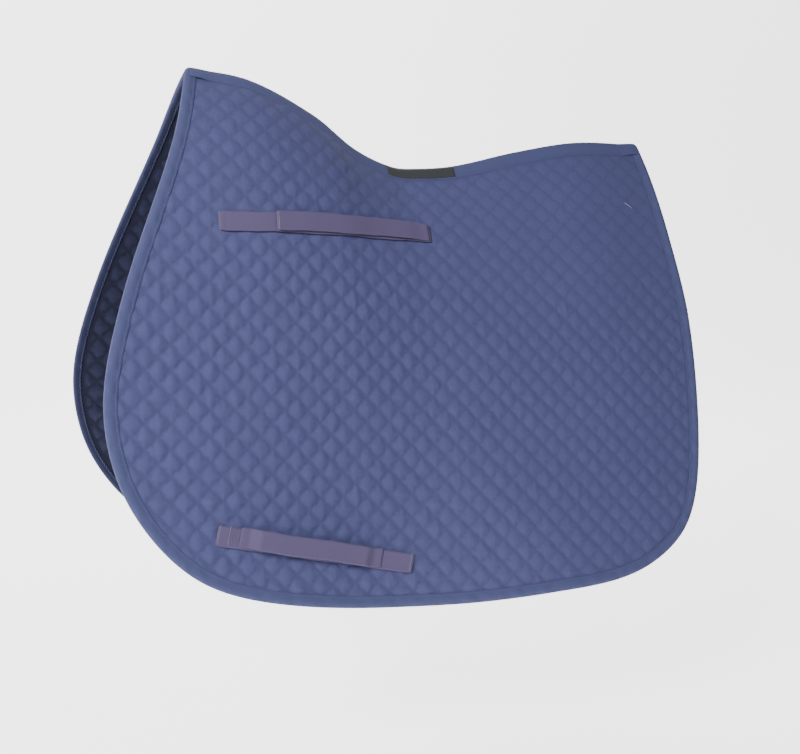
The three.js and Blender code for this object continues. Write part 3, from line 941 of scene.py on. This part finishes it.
def tapeStitches(depth, sign):
    x = np.arange(tapeLow.x + 4 * mm, tapeHigh.x - 4 * mm, 3.3 * mm)
    parts = []
    for way in (-1, 1):
        across = way * spineTape["stitchAt"] + 0 * x
        face = depth - sign * (tapeLift(x) - pressedDown(x, across) + spineTape["thickness"] / 2)
        ahead = overSpine(x + .3 * mm, across, face) - overSpine(x - .3 * mm, across, face)
        out = sign * (overSpine(x, across, face - .3 * mm) - overSpine(x, across, face))
        ahead, out = (v / np.linalg.norm(v, axis=1, keepdims=True) for v in (ahead, out))
        parts.append(stitchMesh(overSpine(x, across, face), ahead, out, 2.4 * mm, .5 * mm, .25 * mm))
    points, quads = joined(*parts)
    return points, quads, uvFor(points)


for node, title, depth, sign, cutWidth in (
        ("spine_outer_tape", "spineOuterTape", spineTape["outer"] + .4 * mm, 1, 30 * mm),
        ("spine_inner_tape", "spineInnerTape", spineTape["inner"] + .4 * mm, -1, 21 * mm)):
    points, quads, uvs = tapeMesh(depth, sign)
    tape = addPiece(title, points, quads, materials["binding"], uvs)
    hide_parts(node)
    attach(tape, "spine")
    points, quads, uvs = tapeStitches(depth, sign)
    sewing = addPiece(title + "Stitches", points, quads, materials["thread"], uvs)
    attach(sewing, "spine")

label = {"from": 2.2 * mm, "width": 11.6 * mm, "thickness": .45 * mm, "over": .12 * mm}
labelLow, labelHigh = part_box("spine_label")


def labelMesh():
    x = np.linspace(labelLow.x, labelHigh.x, 60)[:, None]
    across = -(label["from"] + np.linspace(0, 1, 10)[None] * label["width"])
    x, across = np.broadcast_arrays(x, across)
    low = spineTape["outer"] - label["over"]
    crease = .1 * mm * np.sin(x / (9 * mm)) - pressedDown(x, across)
    points, quads = shell(overSpine(x, across, low - label["thickness"] - crease),
                          overSpine(x, across, low - crease), gridQuads(*x.shape))
    uv = np.stack([x, across], -1).reshape(-1, 2)
    return points, quads, {"cut": np.concatenate([uv, uv])}


points, quads, uvs = labelMesh()
tag = addPiece("spineLabel", points, quads, materials["label"], uvs)
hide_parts("spine_label")
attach(tag, "spine")
print("spine made")


# a loose end of thread lies on the near half, below the rear corner
looseEnd = {"fromEnd": 41 * mm, "down": 87 * mm, "length": 12 * mm, "thick": .55 * mm, "rise": .7 * mm}
looseX = np.array([tapeHigh.x - looseEnd["fromEnd"]])
loosePlace = np.c_[looseX, spineHeight(looseX) - looseEnd["down"]]
points, quads = stitchesOn(loosePlace, np.array([[.77, -.64]]), np.array([-1.2 * mm]), looseEnd["length"],
                           looseEnd["thick"], looseEnd["rise"])
looseThread = addPiece("looseThread", points, quads, looseFibre, uvFor(points))
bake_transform(looseThread)
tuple(bendStart)
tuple(bendEnd)


studio = {
    "floor": frameBounds[0][2] - .25,
    "camera": (-.517, -1.197, -.048),
    "towards": (.381, .915, -.1331),
    "lens": 51.2,
}


def addLight(name, place, aim, size, energy, colour=(1, 1, 1)):
    lamp = bpy.data.lights.new(name, "AREA")
    lamp.shape, lamp.size, lamp.energy, lamp.color = "DISK", size, energy, colour
    light = bpy.data.objects.new(name, lamp)
    light.location = place
    light.rotation_euler = (Vector(aim) - Vector(place)).to_track_quat("-Z", "Y").to_euler()
    scene.collection.objects.link(light)


def pale():
    material, tree, principled = fabricMaterial("paleFloor")
    principled.inputs["Base Color"].default_value = (.95, .95, .95, 1)
    principled.inputs["Emission Color"].default_value = (1, 1, 1, 1)
    principled.inputs["Emission Strength"].default_value = 2.2
    principled.inputs["Roughness"].default_value = .9
    return material


# a sheet of paper that curves up behind the pad
width = np.linspace(-6, 6, 3)[:, None]
run = np.array([-.35, 0, 1.5, *(1.5 + 2 * np.sin(np.linspace(.2, np.pi / 2, 9))), 3.5])[None]
rise = np.array([0, 0, 0, *(2 - 2 * np.cos(np.linspace(.2, np.pi / 2, 9))), 7])[None]
x, y, z = np.broadcast_arrays(width, run, rise)
paper = addPiece("paper", np.stack([x, y, z + studio["floor"]], -1).reshape(-1, 3), gridQuads(*x.shape), pale())

addLight("key", (-1.4, -1.4, .8), (-.1, -.1, -.25), .7, 63)
addLight("fill", (.2, -2.1, -1.15), (0, -.1, -.2), 2, 22)
addLight("back", (0, 1.2, 1.8), (0, 3, .3), 2, 60)
world = bpy.data.worlds.new("studio")
scene.world = world
world.use_nodes = True
world.node_tree.nodes["Background"].inputs[0].default_value = (1, 1, 1, 1)
world.node_tree.nodes["Background"].inputs[1].default_value = .15

camera = bpy.data.objects.new("camera", bpy.data.cameras.new("camera"))
camera.data.lens = studio["lens"]
camera.location = studio["camera"]
camera.rotation_euler = Vector(studio["towards"]).to_track_quat("-Z", "Y").to_euler()
scene.collection.objects.link(camera)
scene.camera = camera

print("studio ready")
